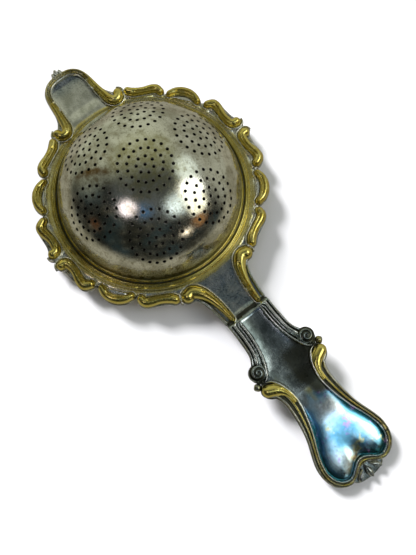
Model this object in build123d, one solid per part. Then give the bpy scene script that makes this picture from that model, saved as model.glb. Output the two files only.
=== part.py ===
from build123d import *
import os
from math import atan2, cos, degrees, pi, radians, sin, sqrt

# Tea strainer with a pierced half-round bowl, a scroll-bordered frame with a rest tab,
# and a curved handle. Millimetres. The strainer is drawn turned over, bowl upwards.
# Origin: on the bowl axis, level with the face of the frame plate on the bowl's side.
# +X runs along the handle, +Z is the side the bowl bulges towards.

# Bowl
bowl_radius = 29.1        # outside, at the straight collar
dome_rise = 21.55         # from the widest level to the crown
widest_level = 1.93       # where the collar ends and the dome begins
bowl_wall = 0.6
bowl_lip_radius = 32.0
# Piercing: a centre rosette and six round it, each a hole with three rings of holes
hole_radius = 0.45
rosette_count = 6
rosette_distance = 24.2   # along the sheet, from the crown
rosette_turn = 31.0       # degrees from the handle to the first outer rosette
ring_radii = (2.97, 6.06, 9.26)
ring_counts = (7, 15, 21)
ring_turns = (24.0, 7.0, 10.0)
centre_ring_turns = (39.0, 13.5, 5.4)
odd_rosette = 5           # this one was punched with its rings turned differently
odd_ring_turns = (42.0, 18.0, 10.0)
# Frame plate
plate = 1.2
opening_radius = 29.15
rim_shift = 0.2           # the ornamented rim is this far towards the handle
rim_grow = 1.008          # the rim as cast, against the pattern drawn here
tab_end = 51.6
neck_end = 49.0
lap_end = 57.0
lap_half_width = 3.3
panel_sink = 0.2          # the smooth panels of the tab and neck lie this much lower
rim_height = 2.3          # height of the scrolls round the rim and beside the tab
# Bead ring round the foot of the bowl
ring_radius = 30.55
ring_half_width = 0.75
# Handle: a strip bent to one long arc
handle_start = 49.2
bend_radius = 180.0
bend_crest = 52.0
handle_top = 1.3
handle_tip = 111.7
back_relief = 0.5         # height of the relief on the far face, against the near one


def surface_height(x):
    """Height of the handle's outer face at X."""
    return handle_top - bend_radius + sqrt(bend_radius ** 2 - (x - bend_crest) ** 2)


def handle_drum(radius):
    """A drum whose top is one face of the bent handle."""
    drum = Pos(bend_crest, 0, handle_top - bend_radius) * Rot(90, 0, 0) * Cylinder(radius, 60)
    return drum & (Pos(90, 0, -20) * Box(90, 60, 60))


def flip(points):
    return [(x, -y) for x, y in reversed(points)]


# ---- bowl ----

def on_dome(along, turn):
    """Point and outward direction on the dome, from a distance along the sheet and a turn."""
    slant = 0.9775 * along / 32 + 0.105 * (along / 32) ** 3
    out = bowl_radius * sin(slant)
    point = Vector(out * cos(turn), out * sin(turn), widest_level + dome_rise * cos(slant))
    flat = sin(slant) / bowl_radius
    normal = Vector(flat * cos(turn), flat * sin(turn), cos(slant) / dome_rise)
    return point, normal.normalized()


def rosette_holes(distance, turn, turns):
    """Drill positions for one rosette, on the flat sheet, then carried to the dome."""
    centre = Vector(distance * cos(turn), distance * sin(turn), 0)
    spots = [centre]
    for radius, count, first in zip(ring_radii, ring_counts, turns):
        for step in range(count):
            angle = turn + radians(first) + 2 * pi * step / count
            spots.append(centre + Vector(radius * cos(angle), radius * sin(angle), 0))
    return spots


def bowl():
    """Pressed bowl: dome, short straight collar and a flat lip that sits on the frame."""
    crown = widest_level + dome_rise
    inner = bowl_radius - bowl_wall
    middle = (0, widest_level)
    outer_arc = EllipticalCenterArc(middle, bowl_radius, dome_rise, start_angle=0, arc_size=90)
    inner_arc = EllipticalCenterArc(middle, inner, dome_rise - bowl_wall, start_angle=0, arc_size=90)
    under = -plate - bowl_wall
    profile = [outer_arc,
               Line((bowl_radius, widest_level), (bowl_radius, -plate)),
               Line((bowl_radius, -plate), (bowl_lip_radius, -plate)),
               Line((bowl_lip_radius, -plate), (bowl_lip_radius, under)),
               Line((bowl_lip_radius, under), (inner, under)),
               Line((inner, under), (inner, widest_level)),
               inner_arc,
               Line((0, crown - bowl_wall), (0, crown))]
    section = Plane.XZ * make_face(Wire(profile))
    shell = revolve(section, Axis.Z)
    spots = rosette_holes(0, 0, centre_ring_turns)
    for number in range(rosette_count):
        turn = radians(rosette_turn + 360 / rosette_count * number)
        turns = odd_ring_turns if number == odd_rosette else ring_turns
        spots += rosette_holes(rosette_distance, turn, turns)
    drills = []
    for spot in spots:
        point, normal = on_dome(spot.length, atan2(spot.Y, spot.X))
        drills.append(Plane(origin=point, z_dir=normal) * Cylinder(hole_radius, 4))
    return shell - drills


# ---- frame ----

def rim_lobes():
    """Outer edge of the rim in its first quarter: a long, a round and a side lobe."""
    long_lobe = [(0.0, 35.7), (0.8, 37.1), (2.4, 37.6), (4.4, 36.9), (7.5, 36.4),
                 (10.8, 36.1), (13.3, 34.9), (14.3, 33.0), (14.35, 31.4)]
    round_lobe = [(14.35, 31.4), (16.3, 32.2), (19.4, 32.0), (22.3, 30.1),
                  (24.2, 27.2), (24.7, 25.2), (24.45, 23.8)]
    side_lobe = [(24.45, 23.8), (26.3, 24.8), (28.5, 24.1), (30.1, 21.8),
                 (31.2, 19.4), (32.6, 17.2), (33.8, 15.9), (33.9, 14.5), (33.0, 13.4)]
    return [long_lobe, round_lobe, side_lobe]


def frame_outline():
    """Closed outline of the frame: rim lobes, neck to the joint, tab."""
    right = [[(rim_shift + x * rim_grow, y * rim_grow) for x, y in lobe] for lobe in rim_lobes()]
    left = [[(rim_shift - x * rim_grow, y * rim_grow) for x, y in lobe] for lobe in rim_lobes()]
    neck = [[right[-1][-1], (35.0, 13.5), (36.5, 12.2), (36.9, 10.3)],
            [(36.9, 10.3), (39.0, 9.1), (43.0, 8.2), (neck_end, 7.7)]]
    tab = [[left[-1][-1], (-34.5, 13.6), (-35.6, 12.5), (-35.8, 11.2)],
           [(-35.8, 11.2), (-37.6, 9.9), (-41.0, 8.9), (-45.0, 8.4), (-48.5, 7.4),
            (-50.7, 5.2), (-51.5, 2.8), (-tab_end, 1.6)],
           [(-tab_end, 1.6), (-52.7, 1.35), (-53.4, 0.7), (-53.6, 0.0)]]
    upper = right + left + neck + tab
    edges = [Spline(*points) for points in upper]
    edges += [Spline(*flip(points)) for points in upper]
    edges.append(Line((neck_end, 7.7), (neck_end, -7.7)))
    return make_face(Wire(edges))


def sunk_panels():
    """Flat sunk panels inside the mouldings of the tab and the neck."""
    tab = [(-35.6, 5.4), (-40.0, 5.5), (-44.0, 5.2), (-47.2, 4.3), (-48.6, 2.2), (-48.8, 0.0)]
    neck = [(36.4, 5.6), (38.6, 5.0), (41.5, 4.6), (44.5, 4.3), (47.0, 4.2)]
    tab_edges = [Spline(*tab), Spline(*flip(tab)), Line(tab[0], (tab[0][0], -tab[0][1]))]
    neck_edges = [Spline(*neck), Spline(*flip(neck)),
                  Line(neck[0], (neck[0][0], -neck[0][1])), Line(neck[-1], (neck[-1][0], -neck[-1][1]))]
    faces = [make_face(Wire(tab_edges)), make_face(Wire(neck_edges))]
    return [extrude(face, -panel_sink) for face in faces]


def frame():
    """Plate with the bowl's opening, and a tongue that the handle is lapped onto."""
    body = extrude(frame_outline(), -plate)
    reach = lap_end - neck_end
    tongue = Pos(neck_end + reach / 2 - 1, 0, -plate / 2) * Box(reach + 2, 2 * lap_half_width, plate)
    return body + tongue - Cylinder(opening_radius, 10) - sunk_panels()


def bead_ring():
    """Solder bead round the foot of the bowl: a low half-round ring."""
    bead = Pos(ring_radius, 0) * Ellipse(ring_half_width, ring_half_width)
    cover = Plane.XZ * (bead & (Pos(ring_radius, 1) * Rectangle(4, 2)))
    return revolve(cover, Axis.Z)


# ---- mouldings ----

def stroke(points, widths, share=1.0):
    """Closed wire round a line drawn with a swelling width and round ends."""
    line = Spline(*points)
    steps = 2 * (len(points) - 1)
    left = []
    right = []
    for step in range(steps + 1):
        along = step / steps
        place = along * (len(widths) - 1)
        low = min(int(place), len(widths) - 2)
        width = share * (widths[low] + (place - low) * (widths[low + 1] - widths[low]))
        heading = line % along
        across = Vector(-heading.Y, heading.X, 0) * width
        left.append(line @ along + across)
        right.append(line @ along - across)
    tip = line @ 1 + (line % 1) * (widths[-1] * share)
    tail = line @ 0 - (line % 0) * (widths[0] * share)
    return Wire([Spline(*left),
                 ThreePointArc(left[-1], tip, right[-1]),
                 Spline(*reversed(right)),
                 ThreePointArc(right[0], tail, left[0])])


# A moulding's cross-section: share of the height, share of the width
rounded_section = ((0.0, 1.0), (0.45, 0.95), (0.8, 0.72), (1.0, 0.36))


def flat_pad(points, widths, height):
    """A round-topped moulding on the flat frame."""
    layers = [Pos(0, 0, up * height) * make_face(stroke(points, widths, share))
              for up, share in rounded_section]
    return loft(layers, ruled=True)


def both_faces(points, widths, height):
    """The moulding on the near face and a shallower one on the far face."""
    near = flat_pad(points, widths, height)
    far = flat_pad(points, widths, height * back_relief)
    return [near, Pos(0, 0, -plate) * far.mirror(Plane.XY)]


def four_ways(points, widths, height):
    """The same rim scroll in all four quarters."""
    solids = []
    grown = [(x * rim_grow, y * rim_grow) for x, y in points]
    for solid in both_faces(grown, widths, height):
        for copy in (solid, solid.mirror(Plane.YZ)):
            placed = Pos(rim_shift, 0, 0) * copy
            solids += [placed, placed.mirror(Plane.XZ)]
    return solids


def two_ways(points, widths, height):
    """The same scroll on both sides of the handle's line."""
    solids = both_faces(points, widths, height)
    return solids + [solid.mirror(Plane.XZ) for solid in solids]


def long_scrolls():
    line = [(2.3, 36.2), (2.6, 35.0), (4.4, 34.3), (7.1, 34.2), (9.6, 34.4), (11.7, 33.8), (12.7, 32.5)]
    return four_ways(line, [1.45, 1.35, 1.25, 1.35, 1.45, 1.25], rim_height)


def round_scrolls():
    line = [(15.6, 30.6), (17.2, 31.0), (19.6, 30.4), (21.8, 28.7), (23.1, 26.5), (23.4, 25.1)]
    return four_ways(line, [1.05, 1.25, 1.4, 1.3, 1.05], rim_height)


def side_scrolls():
    line = [(25.7, 23.0), (27.0, 22.9), (28.4, 21.6), (29.4, 19.3), (30.4, 17.0), (31.5, 15.5), (32.6, 15.0)]
    return four_ways(line, [1.15, 1.4, 1.3, 1.3, 1.35], rim_height)


def neck_scrolls():
    """Scrolls that stand beside the neck: a knob at the rim, tapering to the joint."""
    line = [(34.5, 11.5), (34.2, 10.1), (35.3, 8.5), (37.9, 6.9), (41.3, 5.95), (45.0, 5.4), (48.2, 5.2)]
    return two_ways(line, [2.05, 1.85, 1.55, 1.2, 1.0, 0.85, 0.8], 2.6)


def neck_edges():
    """Thin beads along the outer edges of the neck."""
    line = [(38.2, 9.1), (41.0, 8.2), (44.5, 7.6), (48.2, 7.25)]
    return two_ways(line, [0.35, 0.4, 0.4, 0.4], 0.7)


def tab_border():
    """Foot scrolls beside the tab, each running on as a wire round the tab's end."""
    foot = [(-34.3, 12.1), (-33.1, 11.6), (-32.6, 10.2), (-33.8, 8.8), (-36.5, 8.1), (-40.0, 7.7), (-43.4, 7.5)]
    feet = two_ways(foot, [1.5, 1.6, 1.5, 1.25, 1.1, 0.9], rim_height)
    wire = [(-45.3, 7.35), (-48.1, 6.4), (-49.8, 4.6), (-50.5, 2.2), (-50.55, 0.0), (-50.5, -2.2),
            (-49.8, -4.6), (-48.1, -6.4), (-45.3, -7.35)]
    return feet + both_faces(wire, [0.7, 0.7], 1.8)


def tab_finial():
    """A small three-lobed crown on the end of the tab."""
    middle = both_faces([(-52.5, 0.0), (-53.0, 0.0)], [0.5, 0.4], 1.3)
    return middle + two_ways([(-51.75, 0.8), (-52.2, 1.0)], [0.3, 0.3], 1.1)


# ---- handle ----

def handle_outline():
    """Outline of the handle: waist, shoulder scrolls and a heart-shaped end."""
    front = [(handle_start, 7.7), (53.0, 7.6), (57.5, 7.8), (61.5, 8.4), (63.4, 9.5)]
    first = [(63.4, 9.5), (64.4, 11.2), (66.2, 12.0), (68.0, 11.7), (69.6, 10.4)]
    second = [(69.6, 10.4), (71.0, 11.6), (72.8, 12.0), (74.6, 11.1), (75.6, 9.5)]
    side = [(75.6, 9.5), (77.4, 8.7), (81.0, 8.4), (86.0, 8.8), (91.0, 9.8), (96.0, 11.6), (100.0, 12.7),
            (104.4, 12.5), (107.6, 10.8), (109.2, 8.4), (109.4, 6.0)]
    end = [(109.4, 6.0), (110.6, 4.9), (111.4, 2.7), (handle_tip, 0.0)]
    upper = [front, first, second, side, end]
    edges = [Spline(*points) for points in upper]
    edges += [Spline(*flip(points)) for points in upper]
    edges.append(Line((handle_start, 7.7), (handle_start, -7.7)))
    return make_face(Wire(edges))


def strip(low, high):
    """The bent layer between two heights over the handle's near face."""
    return handle_drum(bend_radius + high) - handle_drum(bend_radius + low)


def upright(face):
    """The face drawn out through the whole depth of the bent handle."""
    return Pos(0, 0, -30) * extrude(face, 50)


def handle():
    """Bent strip that the ornament is mounted on."""
    return upright(handle_outline()) & strip(-plate, 0)


def bent_pad(points, widths, height):
    """The round-topped moulding on the near face of the bent handle, built up in layers."""
    layers = []
    for layer in range(len(rounded_section) - 1):
        low = rounded_section[layer][0] * height
        high = rounded_section[layer + 1][0] * height
        face = make_face(stroke(points, widths, rounded_section[layer][1]))
        layers.append(upright(face) & strip(low, high))
    whole = layers[0] + layers[1] + layers[2]
    return whole.solids()


def bent_back_pad(points, widths, height):
    """A shallow flat-topped moulding on the far face of the bent handle."""
    face = make_face(stroke(points, widths))
    return (upright(face) & strip(-plate - height * back_relief, -plate)).solids()


def bent_both(points, widths, height):
    return bent_pad(points, widths, height) + bent_back_pad(points, widths, height)


def bent_two_ways(points, widths, height):
    solids = bent_both(points, widths, height)
    return solids + [solid.mirror(Plane.XZ) for solid in solids]


def front_border():
    """Mouldings on the front half of the handle, from the joint to the shoulder scrolls."""
    line = [(51.3, 5.7), (54.5, 5.65), (58.5, 5.9), (62.0, 6.8)]
    return bent_two_ways(line, [1.7, 1.8, 1.8, 1.7], 1.3)


def front_volutes():
    """Shoulder scrolls on the side of the bowl."""
    line = [(65.9, 8.6), (66.3, 9.8)]
    return bent_two_ways(line, [1.7, 2.1], 2.0)


def rear_volutes():
    """Shoulder scrolls on the side of the heart."""
    line = [(72.7, 9.9), (73.5, 8.0)]
    return bent_two_ways(line, [2.0, 1.6], 2.0)


def shoulder_balls():
    """Small balls between the shoulder scrolls."""
    ball = Pos(69.6, 12.05, surface_height(69.6) - plate / 2) * Sphere(1.1)
    clear = upright(handle_outline())
    balls = (ball - clear).solids()
    return balls + [solid.mirror(Plane.XZ) for solid in balls]


def rear_border():
    """Moulding that runs from one shoulder round the heart to the other."""
    line = [(76.9, 6.5), (80.5, 6.2), (85.0, 6.8), (90.0, 8.2), (95.0, 10.2), (99.5, 11.5), (103.4, 11.3),
            (106.6, 9.8), (108.0, 7.3), (107.6, 4.9), (106.4, 2.6), (105.8, 0.0)]
    whole = line + flip(line)[1:]
    half = [1.7, 1.8, 1.6, 1.2, 1.0, 1.0, 0.95, 0.9]
    return bent_both(whole, half + half[::-1], 1.3)


def heart_boss():
    """Raised pillow inside the heart."""
    side = [(79.5, 0.0), (83.0, 2.6), (88.0, 4.9), (93.0, 6.9), (98.0, 9.0), (102.2, 9.7), (105.8, 8.0),
            (106.1, 5.4), (104.8, 2.6), (103.9, 0.0)]
    edges = [Spline(*side), Spline(*flip(side))]
    outline = upright(make_face(Wire(edges)))
    tilt = -(94.0 - bend_crest) / bend_radius * 180 / pi
    middle = Pos(94.0, 0, surface_height(94.0)) * Rot(0, -tilt, 0)
    swell = middle * scale(Sphere(1.0), by=(16.0, 12.5, 1.5))
    return (outline & swell) - handle_drum(bend_radius)


def end_finial():
    """Three leaves over the notch of the heart."""
    middle = bent_both([(107.8, 0.0), (110.4, 0.0)], [0.6, 1.1], 1.5)
    return middle + bent_two_ways([(109.1, 3.2), (110.1, 3.9)], [0.4, 0.75], 1.3)


parts = {
    "bowl": bowl,
    "bead_ring": bead_ring,
    "frame": frame,
    "long_rim_scrolls": long_scrolls,
    "round_rim_scrolls": round_scrolls,
    "side_rim_scrolls": side_scrolls,
    "tab_border": tab_border,
    "tab_finial": tab_finial,
    "neck_scrolls": neck_scrolls,
    "neck_edge_beads": neck_edges,
    "handle": handle,
    "handle_front_border": front_border,
    "handle_front_volutes": front_volutes,
    "handle_rear_volutes": rear_volutes,
    "handle_balls": shoulder_balls,
    "handle_rear_border": rear_border,
    "heart_boss": heart_boss,
    "handle_finial": end_finial,
}

os.makedirs("parts", exist_ok=True)
for name, make in parts.items():
    piece = make()
    solids = list(piece) if isinstance(piece, (list, tuple)) else piece.solids()
    solids = [solid for item in solids for solid in item.solids()]
    whole = solids[0] if len(solids) == 1 else Compound(children=solids)
    whole.label = name
    export_step(whole, "parts/" + name + ".step")
    print(name, len(solids), round(sum(solid.volume for solid in solids), 1))
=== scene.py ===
import math

import bpy
import numpy as np
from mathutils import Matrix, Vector
from mathutils.geometry import delaunay_2d_cdt


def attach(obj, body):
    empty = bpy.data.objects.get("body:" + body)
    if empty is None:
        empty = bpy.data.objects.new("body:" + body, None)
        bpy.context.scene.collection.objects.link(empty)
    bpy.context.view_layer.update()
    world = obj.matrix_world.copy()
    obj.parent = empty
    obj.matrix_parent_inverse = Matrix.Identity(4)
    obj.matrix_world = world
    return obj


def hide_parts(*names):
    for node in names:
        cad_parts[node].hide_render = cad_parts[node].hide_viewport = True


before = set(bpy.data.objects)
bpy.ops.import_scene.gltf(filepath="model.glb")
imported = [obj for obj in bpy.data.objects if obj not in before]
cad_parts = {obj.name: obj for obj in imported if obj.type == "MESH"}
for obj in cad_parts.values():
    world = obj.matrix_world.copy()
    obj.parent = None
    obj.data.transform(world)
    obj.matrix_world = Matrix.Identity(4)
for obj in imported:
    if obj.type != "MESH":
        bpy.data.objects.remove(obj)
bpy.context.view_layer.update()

# Looks of the tea strainer. Lengths are millimetres until a mesh is made; MM turns them to metres.
# The strainer lies bowl upwards: +X along the handle, +Z the way the bowl bulges.

MM = 0.001

# Sizes shared with the CAD source
BOWL_RADIUS, DOME_RISE, WIDEST, BOWL_WALL = 29.1, 21.55, 1.93, 0.6
LIP_RADIUS, OPENING = 32.0, 29.15
PLATE, SINK, RIM_SHIFT = 1.2, 0.2, 0.2
BEND_RADIUS, BEND_CREST, HANDLE_TOP = 180.0, 52.0, 1.3
BACK_RELIEF = 0.5         # height of the relief on the far face, against the near one
RIM_GROW = 1.008          # the rim as cast, against the pattern drawn here


# ------------------------------------------------------------------ lines and distances

def smooth_line(points, step):
    """A natural cubic spline through the points, sampled evenly."""
    p = np.array(points, float)
    t = np.concatenate([[0], np.cumsum(np.hypot(*np.diff(p, axis=0).T))])
    n = len(p)
    gaps = np.diff(t)
    matrix = np.eye(n)
    right = np.zeros((n, 2))
    for i in range(1, n - 1):
        matrix[i, i - 1:i + 2] = gaps[i - 1], 2 * (gaps[i - 1] + gaps[i]), gaps[i]
        right[i] = 6 * ((p[i + 1] - p[i]) / gaps[i] - (p[i] - p[i - 1]) / gaps[i - 1])
    bend = np.linalg.solve(matrix, right)
    u = np.linspace(0, t[-1], max(3, int(t[-1] / step) + 1))
    i = np.clip(np.searchsorted(t, u) - 1, 0, n - 2)
    gap = gaps[i][:, None]
    a = (t[i + 1] - u)[:, None] / gap
    b = 1 - a
    return a * p[i] + b * p[i + 1] + ((a ** 3 - a) * bend[i] + (b ** 3 - b) * bend[i + 1]) * gap ** 2 / 6


def joined(runs, step):
    """Several spline runs, end to end, as one line."""
    return np.concatenate([smooth_line(run, step)[(0 if k == 0 else 1):] for k, run in enumerate(runs)])


def mirrored_loop(upper):
    """A closed outline from its half above the handle's line."""
    lower = upper[::-1] * (1, -1)
    keep = np.abs(lower[:, 1]) > 1e-6
    return np.concatenate([upper, lower[keep]])


def loop_distance(x, y, loop):
    """Distance to a closed outline, positive inside."""
    px, py = x.ravel(), y.ravel()
    best = np.full(px.shape, 1e9)
    inside = np.zeros(px.shape, bool)
    for (ax, ay), (bx, by) in zip(loop, np.roll(loop, -1, 0)):
        dx, dy = bx - ax, by - ay
        along = np.clip(((px - ax) * dx + (py - ay) * dy) / max(dx * dx + dy * dy, 1e-12), 0, 1)
        best = np.minimum(best, (px - ax - along * dx) ** 2 + (py - ay - along * dy) ** 2)
        if ay != by:
            crosses = (ay > py) != (by > py)
            inside ^= crosses & (px < ax + (py - ay) * dx / (by - ay))
    return (np.sqrt(best) * np.where(inside, 1, -1)).reshape(x.shape)


def line_measure(x, y, line, widths):
    """Where points stand beside an open line whose half width changes along it:
    distance as a share of the half width, signed distance (left of the line is positive),
    share of the length, half width there, and plain distance."""
    share = np.linspace(0, 1, len(line))
    width = np.interp(share, np.linspace(0, 1, len(widths)), widths)
    tangent = np.gradient(line, axis=0)
    tangent /= np.linalg.norm(tangent, axis=1)[:, None]
    px, py = x.ravel(), y.ravel()
    out = np.zeros((5, len(px)))
    for start in range(0, len(px), 4000):
        block = slice(start, start + 4000)
        dx = px[block, None] - line[None, :, 0]
        dy = py[block, None] - line[None, :, 1]
        d = np.hypot(dx, dy)
        k = (d / width).argmin(1)
        rows = np.arange(len(k))
        near = d[rows, k]
        side = np.sign(tangent[k, 0] * dy[rows, k] - tangent[k, 1] * dx[rows, k]) * near
        out[:, block] = near / width[k], side, share[k], width[k], near
    return out.reshape(5, *x.shape)


def step_up(value, low, high):
    t = np.clip((value - low) / (high - low), 0, 1)
    return t * t * (3 - 2 * t)


def bump(value, centre, half):
    """A smooth ridge, 1 at the centre and 0 a half width away."""
    return np.cos(np.clip((value - centre) / half, -1, 1) * math.pi / 2) ** 2


def dome(share):
    """A half-round section: 1 in the middle, 0 at share 1."""
    return np.sqrt(np.clip(1 - share ** 2, 0, 1))


# ------------------------------------------------------------------ mesh making

class Piece:
    """Collects surfaces, then makes one Blender mesh of them."""

    def __init__(self, name):
        self.name = name
        self.verts, self.normals, self.faces = [], [], []
        self.wear, self.dirt, self.tint = [], [], []
        self.count = 0

    def add(self, verts, faces, normals=None, wear=0.0, dirt=0.0, tint=0.0):
        n = len(verts)
        self.verts.append(np.asarray(verts, float))
        self.normals.append(np.zeros((n, 3)) if normals is None else np.asarray(normals, float))
        self.wear.append(np.broadcast_to(wear, (n,)))
        self.dirt.append(np.broadcast_to(dirt, (n,)))
        self.tint.append(np.broadcast_to(tint, (n,)))
        self.faces += [tuple(i + self.count for i in face) for face in faces]
        self.count += n

    def make(self, material, node):
        verts = np.concatenate(self.verts) * MM
        mesh = bpy.data.meshes.new(self.name)
        mesh.from_pydata(verts.tolist(), [], self.faces)
        mesh.polygons.foreach_set("use_smooth", [True] * len(mesh.polygons))
        for label, values in (("wear", self.wear), ("dirt", self.dirt), ("tint", self.tint)):
            layer = mesh.attributes.new(label, "FLOAT", "POINT")
            layer.data.foreach_set("value", np.concatenate(values).astype(np.float32))
        mesh.update()
        normals = np.concatenate(self.normals)
        loops = np.zeros(len(mesh.loops), int)
        mesh.loops.foreach_get("vertex_index", loops)
        mesh.normals_split_custom_set(normals[loops].tolist())
        mesh.materials.append(material)
        thing = bpy.data.objects.new(self.name, mesh)
        bpy.context.scene.collection.objects.link(thing)
        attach(thing, "root")
        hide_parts(node)


def cut_grid(field, low, high, cell):
    """Points and faces of the region where the field is positive, trimmed at its edge."""
    xs = np.arange(low[0], high[0] + cell, cell)
    ys = np.arange(low[1], high[1] + cell, cell)
    x, y = np.meshgrid(xs, ys, indexing="ij")
    value = field(x, y)
    value = np.where(np.abs(value) < 1e-6, 1e-6, value)
    inside = value > 0
    number, points, faces = {}, [], []

    def corner(i, j):
        key = (i, j)
        if key not in number:
            number[key] = len(points)
            points.append((xs[i], ys[j]))
        return number[key]

    def crossing(a, b):
        key = (a, b) if a < b else (b, a)
        if key not in number:
            (i, j), (k, l) = key
            share = value[i, j] / (value[i, j] - value[k, l])
            share = min(max(share, 0.02), 0.98)
            number[key] = len(points)
            points.append((xs[i] + share * (xs[k] - xs[i]), ys[j] + share * (ys[l] - ys[j])))
        return number[key]

    total = inside[:-1, :-1].astype(int) + inside[1:, :-1] + inside[1:, 1:] + inside[:-1, 1:]
    for i, j in zip(*np.nonzero(total)):
        ring = [(i, j), (i + 1, j), (i + 1, j + 1), (i, j + 1)]
        face = []
        for k in range(4):
            a, b = ring[k], ring[(k + 1) % 4]
            if inside[a]:
                face.append(corner(*a))
            if inside[a] != inside[b]:
                face.append(crossing(a, b))
        if len(face) > 2:
            faces.append(tuple(face))
    return np.array(points), faces


def edge_loops(faces):
    """Directed edges that only one face uses."""
    seen = set()
    for face in faces:
        for a, b in zip(face, face[1:] + face[:1]):
            seen.add((a, b))
    return [(a, b) for a, b in seen if (b, a) not in seen]


ONCE = ((1, 1),)
TWICE = ((1, 1), (1, -1))
FOUR_TIMES = ((1, 1), (-1, 1), (1, -1), (-1, -1))
PROBE = 0.03              # how far apart points are compared to find which way a surface faces


def relief(piece, field, lift, place, low, high, cell, depth=0.25, ways=ONCE, far=True, tint=None,
           joined=False):
    """A closed cast shape over a region. lift(x, y) gives height, wear, and dirt with painted shade;
    place(x, y, height, far) puts a height on one face of the plate; depth is how far it is sunk in.
    ways lists the sign changes of X and Y for its mirror copies. A joined shape is one plate with
    the relief on both faces, and its walls run from face to face."""
    points, faces = cut_grid(field, low, high, cell)
    x, y = points.T
    n = len(points)
    height, wear, dirt = lift(x, y)
    tones = [wear, dirt, np.zeros(n) if tint is None else tint(x, y)]
    # the sunk base and walls are black, as painted shade where the shape meets the plate
    hidden = tones if joined else [np.zeros(n), np.ones(n), np.zeros(n)]

    def surface(far):
        """Points of one face, and which way it faces there."""
        def at(dx, dy):
            return place(x + dx, y + dy, lift(x + dx, y + dy)[0], far)
        out = np.cross(at(PROBE, 0) - at(-PROBE, 0), at(0, PROBE) - at(0, -PROBE))
        out *= (-1 if far else 1) / np.linalg.norm(out, axis=1)[:, None]
        return place(x, y, height, far), out

    for is_far in ((False, True) if far and not joined else (False,)):
        top, normal = surface(is_far)
        base, back = place(x, y, np.full(n, -depth), is_far), np.zeros((n, 3))
        if joined:
            base, back = surface(True)
        upper = [face[::-1] for face in faces] if is_far else faces
        lower = [tuple(i + n for i in face[::-1]) for face in upper]
        walls = [(b, a, a + n, b + n) for a, b in edge_loops(upper)]
        for sx, sy in ways:
            shift = np.array([2 * RIM_SHIFT if sx < 0 else 0, 0, 0])
            turn = np.array([sx, sy, 1])
            order = -1 if sx * sy < 0 else 1
            piece.add(np.concatenate([top, base]) * turn + shift,
                      [face[::order] for face in upper + lower + walls],
                      np.concatenate([normal, back]) * turn,
                      *(np.concatenate(pair) for pair in zip(tones, hidden)))


def on_plate(x, y, height, far):
    """A height over the flat frame's near face, or under its far face."""
    z = -PLATE - BACK_RELIEF * height if far else height
    return np.stack([x, y, np.broadcast_to(z, x.shape)], -1)


def on_handle(x, y, height, far):
    """A height over the bent handle's near face, or under its far face."""
    angle = np.arcsin((x - BEND_CREST) / BEND_RADIUS)
    surface = HANDLE_TOP - BEND_RADIUS + BEND_RADIUS * np.cos(angle)
    rise = -PLATE - BACK_RELIEF * height if far else height
    return np.stack([x + rise * np.sin(angle), y, surface + rise * np.cos(angle)], -1)


# ------------------------------------------------------------------ materials

def shader(name):
    material = bpy.data.materials.new(name)
    material.use_nodes = True
    tree = material.node_tree
    return material, tree, tree.nodes["Principled BSDF"]


class Nodes:
    """Short names for the node kinds that the metals share."""

    def __init__(self, tree):
        self.tree = tree
        self.where = tree.nodes.new("ShaderNodeTexCoord").outputs["Object"]

    def link(self, source, target):
        if hasattr(source, "links"):
            self.tree.links.new(source, target)
        else:
            target.default_value = source

    def attribute(self, label):
        node = self.tree.nodes.new("ShaderNodeAttribute")
        node.attribute_name = label
        return node.outputs["Fac"]

    def noise(self, scale, detail=4.0, rough=0.6, stretch=None):
        node = self.tree.nodes.new("ShaderNodeTexNoise")
        node.inputs["Scale"].default_value = scale
        node.inputs["Detail"].default_value = detail
        node.inputs["Roughness"].default_value = rough
        source = self.where
        if stretch:
            mapping = self.tree.nodes.new("ShaderNodeMapping")
            mapping.inputs["Scale"].default_value = stretch[0]
            mapping.inputs["Rotation"].default_value = stretch[1]
            self.tree.links.new(source, mapping.inputs["Vector"])
            source = mapping.outputs["Vector"]
        self.tree.links.new(source, node.inputs["Vector"])
        return node.outputs["Fac"]

    def math(self, kind, a, b):
        node = self.tree.nodes.new("ShaderNodeMath")
        node.operation = kind
        self.link(a, node.inputs[0])
        self.link(b, node.inputs[1])
        return node.outputs[0]

    def times(self, a, b):
        return self.math("MULTIPLY", a, b)

    def ragged(self, value, noise, amount):
        """The value, made uneven by a noise."""
        return self.math("ADD", value, self.times(self.math("SUBTRACT", noise, 0.5), amount))

    def ramp(self, value, low, high, out_low=0.0, out_high=1.0):
        node = self.tree.nodes.new("ShaderNodeMapRange")
        node.interpolation_type = "SMOOTHSTEP"
        self.link(value, node.inputs["Value"])
        for label, number in (("From Min", low), ("From Max", high),
                              ("To Min", out_low), ("To Max", out_high)):
            node.inputs[label].default_value = number
        return node.outputs["Result"]

    def colours(self, value, stops):
        node = self.tree.nodes.new("ShaderNodeValToRGB")
        ends = node.color_ramp.elements
        while len(ends) < len(stops):
            ends.new(0.5)
        for end, (place, colour) in zip(ends, stops):
            end.position = place
            end.color = (*colour, 1)
        self.tree.links.new(value, node.inputs["Fac"])
        return node.outputs["Color"]

    def mix(self, share, a, b):
        node = self.tree.nodes.new("ShaderNodeMix")
        node.data_type = "RGBA"
        self.link(share, node.inputs["Factor"])
        for source, target in ((a, node.inputs["A"]), (b, node.inputs["B"])):
            if isinstance(source, tuple):
                target.default_value = (*source, 1)
            else:
                self.tree.links.new(source, target)
        return node.outputs["Result"]

    def height(self):
        """Z of the surface in millimetres."""
        node = self.tree.nodes.new("ShaderNodeSeparateXYZ")
        self.tree.links.new(self.where, node.inputs[0])
        return self.math("MULTIPLY", node.outputs["Z"], 1 / MM)

    def bump(self, value, strength, distance):
        node = self.tree.nodes.new("ShaderNodeBump")
        node.inputs["Strength"].default_value = strength
        node.inputs["Distance"].default_value = distance
        self.tree.links.new(value, node.inputs["Height"])
        return node.outputs["Normal"]


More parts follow.
